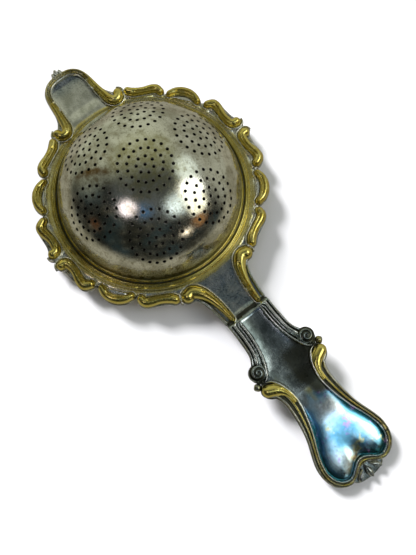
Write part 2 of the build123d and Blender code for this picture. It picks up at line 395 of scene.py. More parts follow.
SILVER_PALE = (0.80, 0.79, 0.72)
SILVER_GREY = (0.50, 0.50, 0.43)
SILVER_BRIGHT = (0.98, 0.98, 0.94)
TARNISH_AND_SHADE = (0.045, 0.045, 0.028)
TARNISH_BLUE = (0.40, 0.47, 0.51)
TARNISH_DEEP = (0.09, 0.12, 0.15)
BRASS = (0.68, 0.52, 0.09)
BRASS_PALE = (0.82, 0.70, 0.24)
BRASS_DARK = (0.33, 0.22, 0.02)
BRASS_LIGHT = (0.92, 0.77, 0.22)


def blue_tarnish(n, silver, cloud, fine):
    """Blue-grey tarnish, in clouds, where the tint attribute says."""
    share = n.times(n.attribute("tint"), n.ramp(cloud, 0.35, 0.6, 0.55, 1.0))
    return n.mix(share, silver, n.mix(n.ramp(fine, 0.4, 0.65), TARNISH_BLUE, TARNISH_DEEP))


def polished(n, silver, cloud, fine):
    """Silver rubbed bright along a bead, where the tint attribute says."""
    return n.mix(n.attribute("tint"), silver, SILVER_BRIGHT)


def oxide_film(n, silver, cloud, fine):
    """Thin oxide colours, pale cyan in the middle to deep teal at the edge, with straw and magenta
    patches, where the tint attribute says. The teal deepens with the attribute of dirt and painted shade,
    which on the heart is painted shade at its edge."""
    film = n.math("ADD", n.noise(75, 3, 0.5), n.times(n.attribute("dirt"), 0.34))
    colour = n.colours(film, [(0.36, (0.92, 0.98, 0.98)), (0.50, (0.60, 0.86, 1.0)),
                              (0.60, (0.20, 0.50, 0.72)), (0.74, (0.03, 0.16, 0.20))])
    straw = n.ramp(n.noise(160, 3, 0.6, ((1, 1, 1), (0.4, 0, 0))), 0.60, 0.70, 0, 0.8)
    colour = n.mix(straw, colour, (0.98, 0.90, 0.42))
    magenta = n.ramp(n.noise(210, 4, 0.75, ((1, 1, 1), (0, 0.7, 0))), 0.57, 0.67, 0, 0.7)
    colour = n.mix(magenta, colour, (0.72, 0.38, 0.98))
    colour = n.mix(n.ramp(fine, 0.58, 0.72, 0, 0.35), colour, (0.10, 0.18, 0.26))
    return n.mix(n.ramp(n.ragged(n.attribute("tint"), cloud, 0.9), 0.25, 0.75), silver, colour)


def plated(name, pale, grey, rough, blotch, brass=1.0, bumps=0.25, patchy=(0.38, 0.62), second=polished):
    """Worn silver plate: mottled tarnish, brass showing through where the wear attribute says,
    dark tarnish and painted shade where the attribute of dirt and painted shade says,
    and a second finish where the tint attribute says.
    blotch is how many patches of tarnish there are in a metre."""
    material, tree, surface = shader(name)
    n = Nodes(tree)
    surface.inputs["Metallic"].default_value = 1.0
    cloud = n.noise(blotch, 5, 0.65)
    fine = n.noise(blotch * 7, 4, 0.7)
    speck = n.noise(blotch * 16, 3, 0.6)
    silver = n.mix(n.ramp(cloud, *patchy), pale, grey)
    silver = n.mix(n.ramp(fine, 0.55, 0.75, 0, 0.45), silver, grey)
    worn = n.ramp(n.ragged(n.attribute("wear"), cloud, 0.7), 0.25, 0.62, 0.0, brass)
    gold = n.mix(n.ramp(cloud, 0.42, 0.6), BRASS_PALE, BRASS)
    gold = n.mix(n.ramp(n.noise(45, 2, 0.5), 0.40, 0.60, 0.1, 0.85), gold, BRASS_LIGHT)
    gold = n.mix(n.ramp(fine, 0.5, 0.75, 0, 0.7), gold, BRASS_DARK)
    colour = n.mix(worn, second(n, silver, cloud, fine), gold)
    soot_and_shade = n.ramp(n.ragged(n.attribute("dirt"), fine, 0.35), 0.2, 0.85, 0.0, 0.94)
    if second is oxide_film:        # no soot or painted shade over the oxide colours
        soot_and_shade = n.times(soot_and_shade, n.ramp(n.attribute("tint"), 0.3, 0.9, 1.0, 0.0))
    # near black where the attribute of dirt and painted shade is high: dark tarnish, and painted shade in
    # creases, grooves and holes
    colour = n.mix(soot_and_shade, colour, TARNISH_AND_SHADE)
    colour = n.mix(n.ramp(speck, 0.62, 0.72, 0, 0.3), colour, TARNISH_AND_SHADE)
    n.link(colour, surface.inputs["Base Color"])
    roughness = n.math("ADD", n.ramp(fine, 0.3, 0.75, rough, rough + 0.12), n.times(soot_and_shade, 0.12))
    n.link(roughness, surface.inputs["Roughness"])
    scratch = n.noise(900, 2, 0.5, ((1, 14, 1), (0, 0, 0.5)))
    n.link(n.bump(n.math("ADD", fine, n.times(scratch, 0.5)), bumps, 0.00006), surface.inputs["Normal"])
    return material


def bowl_metal():
    """Polished dome gone cloudy, brown-specked, with water marks at its foot and a brown stain;
    an olive-dark ring at the foot is partly a painted dark reflection of the flange, and the holes and the
    inside are painted near black as shade.
    """
    material, tree, surface = shader("bowl_plate")
    n = Nodes(tree)
    surface.inputs["Metallic"].default_value = 1.0
    z = n.height()
    cloud = n.noise(120, 5, 0.66)
    patch = n.noise(480, 5, 0.72)
    fine = n.noise(2100, 4, 0.7)
    base = n.mix(n.ramp(cloud, 0.40, 0.60), (0.87, 0.85, 0.74), (0.55, 0.53, 0.43))
    base = n.mix(n.ramp(patch, 0.50, 0.68, 0, 0.5), base, (0.44, 0.40, 0.28))
    crown = n.times(n.ramp(z, 21.2, 23.3), n.ramp(patch, 0.3, 0.6, 0.2, 0.6))
    base = n.mix(crown, base, (0.46, 0.42, 0.14))
    # foot: a crust of pale deposit, then an olive-dark ring by the solder, partly a painted dark reflection
    # of the flange
    level = n.ragged(z, patch, 11.0)
    crust = n.times(n.ramp(level, 9.4, 7.4), n.ramp(level, 2.2, 3.6))
    flakes = n.mix(n.ramp(fine, 0.44, 0.56), (0.70, 0.69, 0.60), (0.16, 0.13, 0.05))
    base = n.mix(n.times(crust, 0.8), base, flakes)
    foot = n.ramp(level, 4.4, 2.0)
    base = n.mix(n.times(foot, 0.9), base, (0.12, 0.105, 0.02))
    stain = n.ragged(n.attribute("wear"), patch, 1.5)
    base = n.mix(n.ramp(stain, 0.1, 1.1, 0, 0.95), base, (0.18, 0.095, 0.02))
    base = n.mix(n.ramp(fine, 0.57, 0.68, 0, 0.6), base, (0.09, 0.08, 0.05))
    base = n.mix(n.ramp(n.noise(1150, 4, 0.75), 0.57, 0.68, 0, 0.6), base, (0.16, 0.12, 0.06))
    # near black where the attribute of dirt and painted shade says: painted shade at the holes, their walls
    # and the inside
    base = n.mix(n.attribute("dirt"), base, (0.010, 0.009, 0.008))
    n.link(base, surface.inputs["Base Color"])
    rough = n.ramp(patch, 0.35, 0.7, 0.09, 0.19)
    rough = n.math("ADD", rough, n.times(n.math("MAXIMUM", crust, foot), 0.22))
    n.link(rough, surface.inputs["Roughness"])
    scratch = n.noise(800, 3, 0.6, ((1, 12, 1), (0, 0, 0.9)))
    n.link(n.bump(n.math("ADD", fine, n.times(scratch, 0.8)), 0.24, 0.00005), surface.inputs["Normal"])
    return material


BOWL_METAL = bowl_metal()
FRAME_METAL = plated("frame_plate", SILVER_PALE, SILVER_GREY, 0.2, 260, 0.8, 0.12, second=blue_tarnish)
CAST_METAL = plated("worn_plate", (0.66, 0.63, 0.50), (0.40, 0.37, 0.22), 0.18, 420, bumps=0.2)
HANDLE = {"pale": (0.66, 0.74, 0.73), "grey": (0.13, 0.16, 0.155), "rough": 0.15, "blotch": 150,
          "patchy": (0.25, 0.72)}
DARK_METAL = plated("dark_plate", **HANDLE)
HEART_METAL = plated("heart_plate", **HANDLE, second=oxide_film)


# ------------------------------------------------------------------ bowl

HOLE = 0.52               # with the worn edge of the punched hole
ROSETTE_DISTANCE, ROSETTE_TURN, ODD_ROSETTE = 24.2, 31.0, 5
RINGS = ((2.97, 7), (6.06, 15), (9.26, 21))
RING_TURNS, CENTRE_TURNS, ODD_TURNS = (24.0, 7.0, 10.0), (39.0, 13.5, 5.4), (42.0, 18.0, 10.0)


LEAN, LEAN_CUBE, SHEET = 0.9775, 0.105, 32     # how the dome leans along its sheet


def slant(along):
    """Angle from the crown for a distance along the sheet."""
    return LEAN * along / SHEET + LEAN_CUBE * (along / SHEET) ** 3


def dome_point(along, turn, inner=False):
    """Point and outward direction on the dome for a distance along the sheet and a turn."""
    s = slant(along)
    radius, rise = BOWL_RADIUS, DOME_RISE
    if inner:
        radius, rise = radius - BOWL_WALL, rise - BOWL_WALL
    point = np.stack([radius * np.sin(s) * np.cos(turn), radius * np.sin(s) * np.sin(turn),
                      WIDEST + rise * np.cos(s)], -1)
    normal = np.stack([np.sin(s) / radius * np.cos(turn), np.sin(s) / radius * np.sin(turn),
                       np.cos(s) / rise], -1)
    return point, normal / np.linalg.norm(normal, axis=-1, keepdims=True)


def hole_centres():
    """Every hole of the piercing, on the flat sheet."""
    def rosette(distance, turn, turns):
        middle = np.array([distance * math.cos(turn), distance * math.sin(turn)])
        yield middle
        for (radius, count), first in zip(RINGS, turns):
            for k in range(count):
                a = turn + math.radians(first) + 2 * math.pi * k / count
                yield middle + radius * np.array([math.cos(a), math.sin(a)])
    spots = list(rosette(0, 0, CENTRE_TURNS))
    for number in range(6):
        turns = ODD_TURNS if number == ODD_ROSETTE else RING_TURNS
        spots += list(rosette(ROSETTE_DISTANCE, math.radians(ROSETTE_TURN + 60 * number), turns))
    return np.array(spots)


def make_bowl():
    piece = Piece("pierced_bowl")
    spots = hole_centres()
    sides, edge, rim_count = 12, 34.8, 200
    # a hole is round on the dome, so it is a slightly stretched ring on the flat sheet
    along = np.hypot(*spots.T)
    turn = np.arctan2(spots[:, 1], spots[:, 0])
    reach = np.maximum(along, 0.5)
    s = slant(reach)
    grow = LEAN / SHEET + 3 * LEAN_CUBE * reach ** 2 / SHEET ** 3
    radial = np.hypot(BOWL_RADIUS * np.cos(s), DOME_RISE * np.sin(s)) * grow
    across = BOWL_RADIUS * np.sin(s) / reach
    ring_angle = np.arange(sides) * 2 * math.pi / sides
    out = np.stack([np.cos(turn), np.sin(turn)], -1)
    beside = np.stack([-np.sin(turn), np.cos(turn)], -1)

    def ring(radius):
        a = (radius / radial)[:, None, None] * np.cos(ring_angle)[None, :, None] * out[:, None]
        b = (radius / across)[:, None, None] * np.sin(ring_angle)[None, :, None] * beside[:, None]
        return (spots[:, None] + a + b).reshape(-1, 2)

    holes, lips = ring(HOLE), ring(HOLE + 0.09)
    a = np.arange(rim_count) * 2 * math.pi / rim_count
    border = np.stack([edge * np.cos(a), edge * np.sin(a)], -1)
    spacing = 0.95
    gx, gy = np.meshgrid(np.arange(-36, 36, spacing), np.arange(-36, 36, spacing * 0.866))
    gx = gx + (np.arange(gx.shape[0]) % 2)[:, None] * spacing / 2
    grid = np.stack([gx.ravel(), gy.ravel()], -1)
    grid = grid[np.hypot(*grid.T) < edge - 0.5]
    gap = np.min(np.hypot(grid[:, None, 0] - spots[None, :, 0], grid[:, None, 1] - spots[None, :, 1]), 1)
    grid = grid[gap > 1.0]
    flat = np.concatenate([border, holes, lips, grid])
    edges = [(k, (k + 1) % rim_count) for k in range(rim_count)]
    for h in range(len(spots)):
        first = rim_count + h * sides
        edges += [(first + k, first + (k + 1) % sides) for k in range(sides)]
    made = delaunay_2d_cdt([Vector(p) for p in flat], edges, [], 0, 1e-7)
    # the points keep their order, because none coincide
    triangles = np.array([tuple(f) for f in made[2]])
    middle = flat[triangles].mean(1)
    hole_range = (triangles >= rim_count) & (triangles < rim_count + len(spots) * sides)
    number = (triangles - rim_count) // sides
    in_hole = hole_range.all(1) & (number[:, 0] == number[:, 1]) & (number[:, 1] == number[:, 2])
    triangles = triangles[~in_hole & (np.hypot(*middle.T) < edge)]
    a, b, c = (flat[triangles[:, k]] for k in range(3))
    crossed = np.cross(b - a, c - a)
    triangles[crossed < 0] = triangles[crossed < 0][:, ::-1]

    along = np.hypot(*flat.T)
    turn = np.arctan2(flat[:, 1], flat[:, 0])
    point, normal = dome_point(along, turn)
    inside, _ = dome_point(along, turn, True)
    count = len(flat)
    is_hole = np.zeros(count, bool)
    is_hole[rim_count:rim_count + len(spots) * sides] = True
    point[is_hole] -= normal[is_hole] * 0.04            # the punch drew the edge in a little
    hole_of = np.repeat(np.arange(len(spots)), sides)
    heart_point, _ = dome_point(np.hypot(*spots.T), np.arctan2(spots[:, 1], spots[:, 0]))
    tilt = heart_point[hole_of] - point[is_hole]
    tilt /= np.linalg.norm(tilt, axis=1)[:, None]
    shading = normal.copy()
    shading[is_hole] += tilt * 0.2
    shading /= np.linalg.norm(shading, axis=1)[:, None]
    x, y = point[:, 0], point[:, 1]
    run = 0.69 * (x + 8.0) + 0.72 * (y + 12.2)          # a brown streak left by the flame or tea
    off = -0.72 * (x + 8.0) + 0.69 * (y + 12.2)
    stain = bump(run, -1.0, 9.5) ** 0.6 * bump(off + 0.03 * run ** 2, 0, 2.6)
    stain = np.maximum(stain, 0.36 * bump(np.hypot(run, off), 0, 15.0))
    # painted shade: the edges of the holes are darkened so that the holes read dark
    dirt = np.where(is_hole, 0.8, 0.0)
    piece.add(point, triangles.tolist(), shading, stain, dirt)
    # the inside, with some brown stain, darkened as painted shade under the dome
    piece.add(inside, triangles[:, ::-1].tolist(), -normal, 0.6, 0.75)
    # hole walls, near black as painted shade inside the holes
    first = np.arange(rim_count, rim_count + len(spots) * sides).reshape(-1, sides)
    top = point[first.ravel()]
    low = inside[first.ravel()]
    n = len(top)
    ids = np.arange(n).reshape(-1, sides)
    after = np.roll(ids, -1, 1)
    walls = np.stack([ids, ids + n, after + n, after], -1).reshape(-1, 4)
    piece.add(np.concatenate([top, low]), walls[:, ::-1].tolist(), None, 0, 1.0)
    # below the piercing: the rest of the dome, the collar, the lip and the inside, turned about the axis
    def side(wall):
        return [((BOWL_RADIUS - wall) * math.sin(s), WIDEST + (DOME_RISE - wall) * math.cos(s))
                for s in np.linspace(slant(edge), math.pi / 2, 15)]

    outer = side(0) + [(BOWL_RADIUS, 1.0), (BOWL_RADIUS, -PLATE + 0.05), (BOWL_RADIUS + 0.08, -PLATE)]
    lip = [(LIP_RADIUS - 0.15, -PLATE), (LIP_RADIUS, -PLATE - 0.12), (LIP_RADIUS, -PLATE - BOWL_WALL + 0.12),
           (LIP_RADIUS - 0.12, -PLATE - BOWL_WALL), (BOWL_RADIUS + 0.25, -PLATE - BOWL_WALL),
           (BOWL_RADIUS - 0.2, -PLATE - BOWL_WALL + 0.1), (BOWL_RADIUS - BOWL_WALL, -PLATE - BOWL_WALL + 0.5)]
    # painted shade: half dark below the plate's face, where the collar and lip sit under the frame
    turned(piece, outer + lip + side(BOWL_WALL)[::-1], rim_count,
           lambda r, z: (0.0 * r, np.where(z < 0.3, 0.5, 0.0)))
    piece.make(BOWL_METAL, "bowl")


def turned(piece, profile, count, tone):
    """A surface turned about the bowl's axis, outside on the left of the profile's run."""
    p = np.array(profile)
    a = np.arange(count) * 2 * math.pi / count
    verts = np.stack([p[:, None, 0] * np.cos(a), p[:, None, 0] * np.sin(a),
                      np.broadcast_to(p[:, None, 1], (len(p), count))], -1)
    ids = np.arange(len(p) * count).reshape(len(p), count)
    after = np.roll(ids, -1, 1)
    faces = np.stack([ids[1:], after[1:], after[:-1], ids[:-1]], -1).reshape(-1, 4)
    wear, dirt = tone(np.repeat(p[:, 0], count), np.repeat(p[:, 1], count))
    piece.add(verts.reshape(-1, 3), faces.tolist(), None, wear, dirt)


def make_ring():
    """Soldered moulding round the foot of the dome: a low worn roll with fine turned lines, with painted
    shade in its groove and under it.
    """
    piece = Piece("foot_ring")
    inner, outer = 29.16, 31.9
    r = np.linspace(inner, outer, 90)
    z = 0.62 * dome((r - 31.05) / 0.85) + 0.05 * np.cos(2 * math.pi * r / 0.42)
    z = np.maximum(z, 0.12 + 0.5 * step_up(30.0 - r, 0, 0.8))
    z = z * step_up(outer - r, 0, 0.12) + 0.02
    profile = [(r[0], -0.3)] + list(zip(r, z)) + [(r[-1], -0.3)]

    def tone(r, z):
        # an even dark tone, darker along the fine turned lines, and painted shade in the groove
        groove = bump(r, 30.1, 0.42)
        line = 0.35 * bump((r - inner) % 0.42, 0.21, 0.12)
        return 0.62 - 0.2 * groove, np.clip(0.28 + 0.75 * groove + line, 0, 1)

    turned(piece, profile, 240, tone)
    # the underside, black as painted shade
    turned(piece, [(outer, -0.3), (inner, -0.3)], 240, lambda r, z: (0 * r, 0 * r + 1))
    piece.make(CAST_METAL, "bead_ring")


# ------------------------------------------------------------------ frame

def frame_loop():
    lobes = [[(0.0, 35.7), (0.8, 37.1), (2.4, 37.6), (4.4, 36.9), (7.5, 36.4), (10.8, 36.1), (13.3, 34.9),
              (14.3, 33.0), (14.35, 31.4)],
             [(14.35, 31.4), (16.3, 32.2), (19.4, 32.0), (22.3, 30.1), (24.2, 27.2), (24.7, 25.2),
               (24.45, 23.8)],
             [(24.45, 23.8), (26.3, 24.8), (28.5, 24.1), (30.1, 21.8), (31.2, 19.4), (32.6, 17.2),
              (33.8, 15.9), (33.9, 14.5), (33.0, 13.4)]]
    right = joined(lobes, 0.35) * RIM_GROW
    left = right[::-1] * (-1, 1)
    rim = np.concatenate([left[:-1], right]) + (RIM_SHIFT, 0)
    neck = joined([[(33.5, 13.4), (35.0, 13.5), (36.5, 12.2), (36.9, 10.3)],
                   [(36.9, 10.3), (39.0, 9.1), (43.0, 8.2), (49.0, 7.7)]], 0.35)
    tab = joined([[(-33.0, 13.6), (-34.5, 13.6), (-35.6, 12.5), (-35.8, 11.2)],
                  [(-35.8, 11.2), (-37.6, 9.9), (-41.0, 8.9), (-45.0, 8.4), (-48.5, 7.4), (-50.7, 5.2),
                   (-51.5, 2.8), (-51.6, 1.6)],
                  [(-51.6, 1.6), (-52.7, 1.35), (-53.4, 0.7), (-53.6, 0.0)]], 0.35)
    return mirrored_loop(np.concatenate([tab[::-1], rim[1:], neck[1:]]))


FRAME_LOOP = frame_loop()


def add_lap(piece):
    """The neck's tongue under the handle, its edges darkened as painted shade, and the solder that closes the
    crease between the two, near black as painted shade in the crease.
    """
    def tongue(x, y):
        return np.minimum(np.minimum(x - 48.6, 57.0 - x), 3.3 - np.abs(y))

    def flat(x, y):
        d = tongue(x, y)
        turn_over = -0.25 * (1 - dome(np.clip(1 - d / 0.3, 0, 1)))
        return 0.05 + turn_over, 0.2 + 0 * x, 0.7 * step_up(0.5 - d, 0, 0.5)

    relief(piece, tongue, flat, on_plate, (48.3, -3.6), (57.3, 3.6), 0.3, 1.0, tint=lambda x, y: 0.95 + 0 * x)

    def solder(x, y):
        return np.minimum(0.95 - np.abs(x - 49.3), 7.25 - np.abs(y))

    def fillet(x, y):
        d = solder(x, y)
        # near black: painted shade in the crease
        return 0.45 - 0.2 * (1 - dome(np.clip(1 - d / 0.4, 0, 1))), 0.1 + 0 * x, 0.95 + 0 * x

    def in_crease(x, y, height, far):
        under = -1.05 + 1.1 * step_up(x, 49.3, 50.2)
        return np.stack([x, y, under if far else height], -1)

    relief(piece, solder, fillet, in_crease, (48.2, -7.6), (50.4, 7.6), 0.2, joined=True)


def make_frame():
    piece = Piece("frame_plate_cast")

    def outline(x, y):
        return np.minimum(loop_distance(x, y, FRAME_LOOP), np.hypot(x, y) - OPENING)

    def lift(x, y):
        d = loop_distance(x, y, FRAME_LOOP)
        r = np.hypot(x, y)
        turn_over = -0.3 * (1 - dome(np.clip(1 - d / 0.3, 0, 1)))
        edge = 0.22 * bump(d, 0.55, 0.4)
        flange = 0.24 * bump(r, 32.95, 0.95)            # a low roll between the solder and the scrolls
        tab = step_up(-x, 34.5, 38) * step_up(np.clip(6.6 - np.abs(y), 0, 9), 0.0, 1.4)
        tab *= step_up(49.6 + x, 0, 2.2)
        tab_dish = -tab * (SINK + 0.30 * (1 - (y / 6.5) ** 2))
        neck = step_up(x, 34.5, 39) * step_up(4.9 - np.abs(y) + step_up(42 - x, 0, 6) * 1.2, 0, 1.5)
        neck *= step_up(48.2 - x, 0, 1.2)
        neck_dish = -neck * (SINK + 0.15 * (1 - (y / 6) ** 2))
        flange = flange * (1 - 0.8 * step_up(np.abs(x), 30.5, 33.5))
        height = turn_over + edge * (d < 0.95) + flange + tab_dish + neck_dish
        wear = 0.35 * bump(d, 0.5, 0.6) + 0.66 * bump(r, 32.4, 2.4)
        # painted shade: dark by the opening under the foot ring and in the crease at the handle's lap. Also
        # darker in a ring by the scrolls' foot, and the neck a little darker.
        dirt = 0.6 * step_up(32.1 - r, 0, 0.4) + 0.95 * bump(x, 49.0, 0.8) + 0.1 * step_up(x, 33, 38)
        dirt = dirt + 0.3 * bump(r, 34.2, 0.7)
        return height, wear, np.clip(dirt, 0, 1)

    def place(x, y, height, far):
        z = np.where(far, -PLATE - np.minimum(height, 0) * 0.4 * (np.hypot(x, y) > 33), height)
        return np.stack([x, y, z * np.ones_like(x)], -1)

    def tint(x, y):
        neck = step_up(x + 0.25 * np.abs(y), 31.5, 36.5)
        tip = step_up(-x, 43.0, 48.5)
        return np.clip(0.95 * neck + 0.85 * tip, 0, 1)

    relief(piece, outline, lift, place, (-54.2, -38.6), (49.6, 38.6), 0.4, tint=tint, joined=True)
    add_lap(piece)
    piece.make(FRAME_METAL, "frame")


def scroll(piece, line, widths, tall, inner=-1, ways=TWICE, bead=True, groove=0.22, cell=0.2,
           place=on_plate, wear_most=1.0, fade=(0.12, 0.88), gap=0.0, shine=0.0):
    """A cast tube scroll with knobbed ends, a groove along it, and a thin bright bead on its inner side.
    Its foot and the crease by the bead are darkened as painted shade, and its groove as tarnish and painted
    shade.
    inner is the side that the bead runs on: -1 right of the line, +1 left. gap is how far the bead
    stands off in the middle, and fade says between which shares of the length the groove runs."""
    path = smooth_line(line, 0.1)
    margin, bead_half = 0.78, 0.35

    def room(x, y):
        measures = line_measure(x, y, path, widths)
        _, side, share, _, near = measures
        lean = inner * side / np.maximum(near, 1e-6)
        beyond = gap * np.sin(math.pi * share) ** 1.5 * step_up(lean, 0.2, 0.8)
        extra = (margin + beyond) * step_up(lean, -0.35, 0.35) * (1 if bead else 0)
        return *measures, extra, beyond

    def field(x, y):
        _, _, _, width, near, extra, _ = room(x, y)
        return width + extra - near

    def lift(x, y):
        q, side, share, width, near, extra, beyond = room(x, y)
        tube = tall * dome(np.clip(q, 0, 1)) * (0.80 + 0.20 * np.clip(width / max(widths), 0, 1))
        run = step_up(share, fade[0], fade[0] + 0.15) * step_up(1 - share, 1 - fade[1], 1.15 - fade[1])
        across = inner * side / width
        body = tube - groove * tall * bump(across, 0.28, 0.30) * run
        out = near - width
        bead_height = 0.95 * dome(np.clip((out - 0.41 - beyond) / bead_half, -1, 1)) * (extra > 0.3)
        panel = 0.3 * step_up(out, 0.0, 0.25) * step_up(beyond, 0.15, 0.5) * (out < beyond + 0.41)
        height = np.maximum(np.maximum(body, bead_height), panel) - 0.02
        on_bead = out > 0.03
        rubbed = np.clip(1.25 - 0.35 * q ** 2 - 0.7 * bump(across, 0.28, 0.26) * run, 0, 1)
        wear = wear_most * np.where(on_bead, 0.2, rubbed)
        # painted shade in the crease beside the bead and at the tube's foot; the groove darkened as tarnish
        # and painted shade
        dirt = np.where(on_bead, bump(out, 0.0, 0.12), step_up(q, 0.84, 1.0) * 0.8)
        dirt = np.maximum(dirt, 0.62 * bump(across, 0.28, 0.20) * run * (q < 1))
        return height, wear, np.clip(dirt, 0, 1)

    def polish(x, y):
        _, _, _, width, near, _, _ = room(x, y)
        return np.maximum(0.75 * (near > width + 0.06), shine)

    reach = max(widths) + margin + gap + 0.1
    relief(piece, field, lift, place, path.min(0) - reach, path.max(0) + reach, cell, ways=ways, tint=polish)


def make_rim_scrolls():
    long_line = [(2.3, 36.3), (2.5, 35.0), (4.2, 34.3), (7.0, 34.2), (9.6, 34.6), (11.8, 34.2), (12.8, 32.6)]
    round_line = [(15.7, 30.7), (17.1, 30.9), (19.3, 30.5), (21.5, 29.0), (23.0, 26.8), (23.4, 25.1)]
    side_line = [(25.9, 23.2), (27.2, 23.0), (28.4, 21.6), (29.3, 19.5), (30.5, 17.2), (31.6, 15.7),
                 (32.6, 14.9)]
    made = ((long_line, [1.5, 1.4, 1.25, 1.3, 1.45, 1.6, 1.3], 0.0, "long_scrolls", "long_rim_scrolls"),
            (round_line, [1.1, 1.25, 1.4, 1.45, 1.3, 1.1], 1.0, "round_scrolls", "round_rim_scrolls"),
            (side_line, [1.25, 1.5, 1.45, 1.3, 1.3, 1.45, 1.35], 0.0, "side_scrolls", "side_rim_scrolls"))
    for line, widths, gap, name, node in made:
        piece = Piece(name)
        line = [(x * RIM_GROW + RIM_SHIFT, y * RIM_GROW) for x, y in line]
        scroll(piece, line, [1.06 * w for w in widths], 2.4, ways=FOUR_TIMES, gap=gap)
        piece.make(CAST_METAL, node)


def make_neck():
    piece = Piece("neck_tubes")
    line = [(34.5, 11.4), (34.2, 10.1), (35.2, 8.5), (37.9, 6.9), (41.3, 5.9), (45.0, 5.35), (48.4, 5.15)]
    scroll(piece, line, [2.2, 2.1, 1.75, 1.4, 1.2, 1.0, 0.85], 2.7, fade=(0.2, 1.2), groove=0.34)
    piece.make(CAST_METAL, "neck_scrolls")
    piece = Piece("neck_edges")
    edge = [(38.2, 9.0), (41.0, 8.1), (44.5, 7.5), (48.4, 7.15)]
    scroll(piece, edge, [0.35, 0.45, 0.45, 0.45], 0.8, bead=False, groove=0, cell=0.16, wear_most=0.35)
    piece.make(DARK_METAL, "neck_edge_beads")


def make_tab_border():
    piece = Piece("tab_mouldings")
    foot = [(-34.2, 12.1), (-33.0, 11.5), (-32.6, 10.1), (-33.8, 8.8), (-36.5, 8.2), (-40.0, 7.75),
            (-43.5, 7.55)]
    scroll(piece, foot, [1.6, 1.75, 1.65, 1.4, 1.2, 1.1, 0.9], 2.4, inner=1, fade=(0.2, 1.2))
    wire = [(-41.5, 7.75), (-45.3, 7.35), (-48.1, 6.4), (-49.9, 4.6), (-50.7, 2.2), (-50.8, 0.0)]
    wire = wire + [(x, -y) for x, y in wire[-2::-1]]
    scroll(piece, wire, [1.0, 0.85, 0.75, 0.7, 0.75, 0.85, 1.0], 1.9, inner=1, ways=ONCE, groove=0.5,
           cell=0.17, fade=(-0.2, 1.2), wear_most=0.42)
    piece.make(CAST_METAL, "tab_border")
    piece = Piece("tab_crown")
    knob = {"bead": False, "groove": 0, "cell": 0.13, "wear_most": 0.05, "shine": 1.0}
    scroll(piece, [(-51.4, 0.0), (-52.2, 0.0), (-52.9, 0.0)], [0.4, 0.7, 0.65], 1.9, ways=ONCE, **knob)
    scroll(piece, [(-50.9, 1.2), (-51.6, 1.4), (-52.3, 1.3)], [0.45, 0.65, 0.55], 1.8, **knob)
    piece.make(CAST_METAL, "tab_finial")


# ------------------------------------------------------------------ handle

# the outer edge as far as the heart's end, in smooth runs that meet at corners
SHOULDERS = [[(49.2, 7.7), (53.0, 7.6), (57.5, 7.8), (61.5, 8.4), (63.4, 9.5)],
             [(63.4, 9.5), (64.4, 11.2), (66.2, 12.0), (68.0, 11.7), (69.6, 10.4)],
             [(69.6, 10.4), (71.0, 11.6), (72.8, 12.0), (74.6, 11.1), (75.6, 9.5)]]
HEART_SIDE = [(75.6, 9.5), (77.4, 8.7), (81.0, 8.4), (86.0, 8.8), (91.0, 9.8), (96.0, 11.6),
              (100.0, 12.7), (104.4, 12.5), (107.6, 10.8), (109.2, 8.4)]


def handle_loop():
    return mirrored_loop(joined(SHOULDERS + [HEART_SIDE + [(109.4, 6.0)],
                                             [(109.4, 6.0), (110.6, 4.9), (111.4, 2.7), (111.7, 0.0)]], 0.35))


def panel_loop():
    """The inner edge of the mouldings, round the whole smooth panel of the handle."""
    front = [(49.4, 3.7), (52.0, 3.65), (55.0, 3.6), (58.0, 3.8), (61.0, 4.25), (64.0, 5.0), (67.0, 6.2),
             (69.0, 7.6), (69.8, 9.1)]
    rear = [(69.8, 9.1), (70.1, 7.8), (71.4, 6.3), (73.5, 5.2), (76.0, 4.5), (79.0, 4.2), (82.0, 4.5),
            (85.0, 5.2), (88.0, 6.1), (91.0, 7.2), (94.0, 8.5), (97.0, 9.7), (100.0, 10.5), (102.7, 10.65),
            (105.4, 9.7), (107.1, 8.0), (107.6, 6.4), (107.2, 4.9), (106.2, 3.5), (105.2, 2.1),
            (104.6, 0.9), (104.5, 0.0)]
    return mirrored_loop(joined([front, rear], 0.35))


def border_loop():
    """The outer edge of the mouldings, which turns in behind the notch of the heart."""
    notch = [(109.5, 6.2), (108.9, 4.4), (107.9, 2.8), (107.1, 1.3), (106.9, 0.0)]
    return mirrored_loop(joined(SHOULDERS + [HEART_SIDE + notch], 0.35))


HANDLE_LOOP, PANEL_LOOP, BORDER_LOOP = handle_loop(), panel_loop(), border_loop()


def handle_tone(x, y, inner):
    """Wear and dirt along the handle's panel, with painted light: gold past the waist, partly a painted
    highlight;
    dark brown, stronger towards +Y as a painted dark reflection; painted shade at the step of the lap, and
    darker by the mouldings.
    """
    # brass wear, and a painted highlight along the waist
    gold = 0.28 * bump(x, 82.0, 7.5) * bump(y, -0.3, 2.6)
    wear = gold + 0.2 * step_up(x, 66, 72) * (1 - step_up(x, 80, 86)) + 0.3 * bump(x, 50.4, 0.5)
    # dark brown tarnish, stronger towards +Y: partly a painted dark reflection on that side of the dish
    brown = (0.25 + 0.65 * step_up(y, -4, 1.5)) * step_up(x, 60, 69) * step_up(88 - x, 0, 8) * (1 - 2 * gold)
    # painted shade at the step of the lap; darker by the mouldings
    dirt = 0.95 * step_up(49.9 - x, 0, 0.6) + 0.25 * bump(inner, 0.1, 0.9) + brown
    return wear, np.clip(dirt, 0, 1)


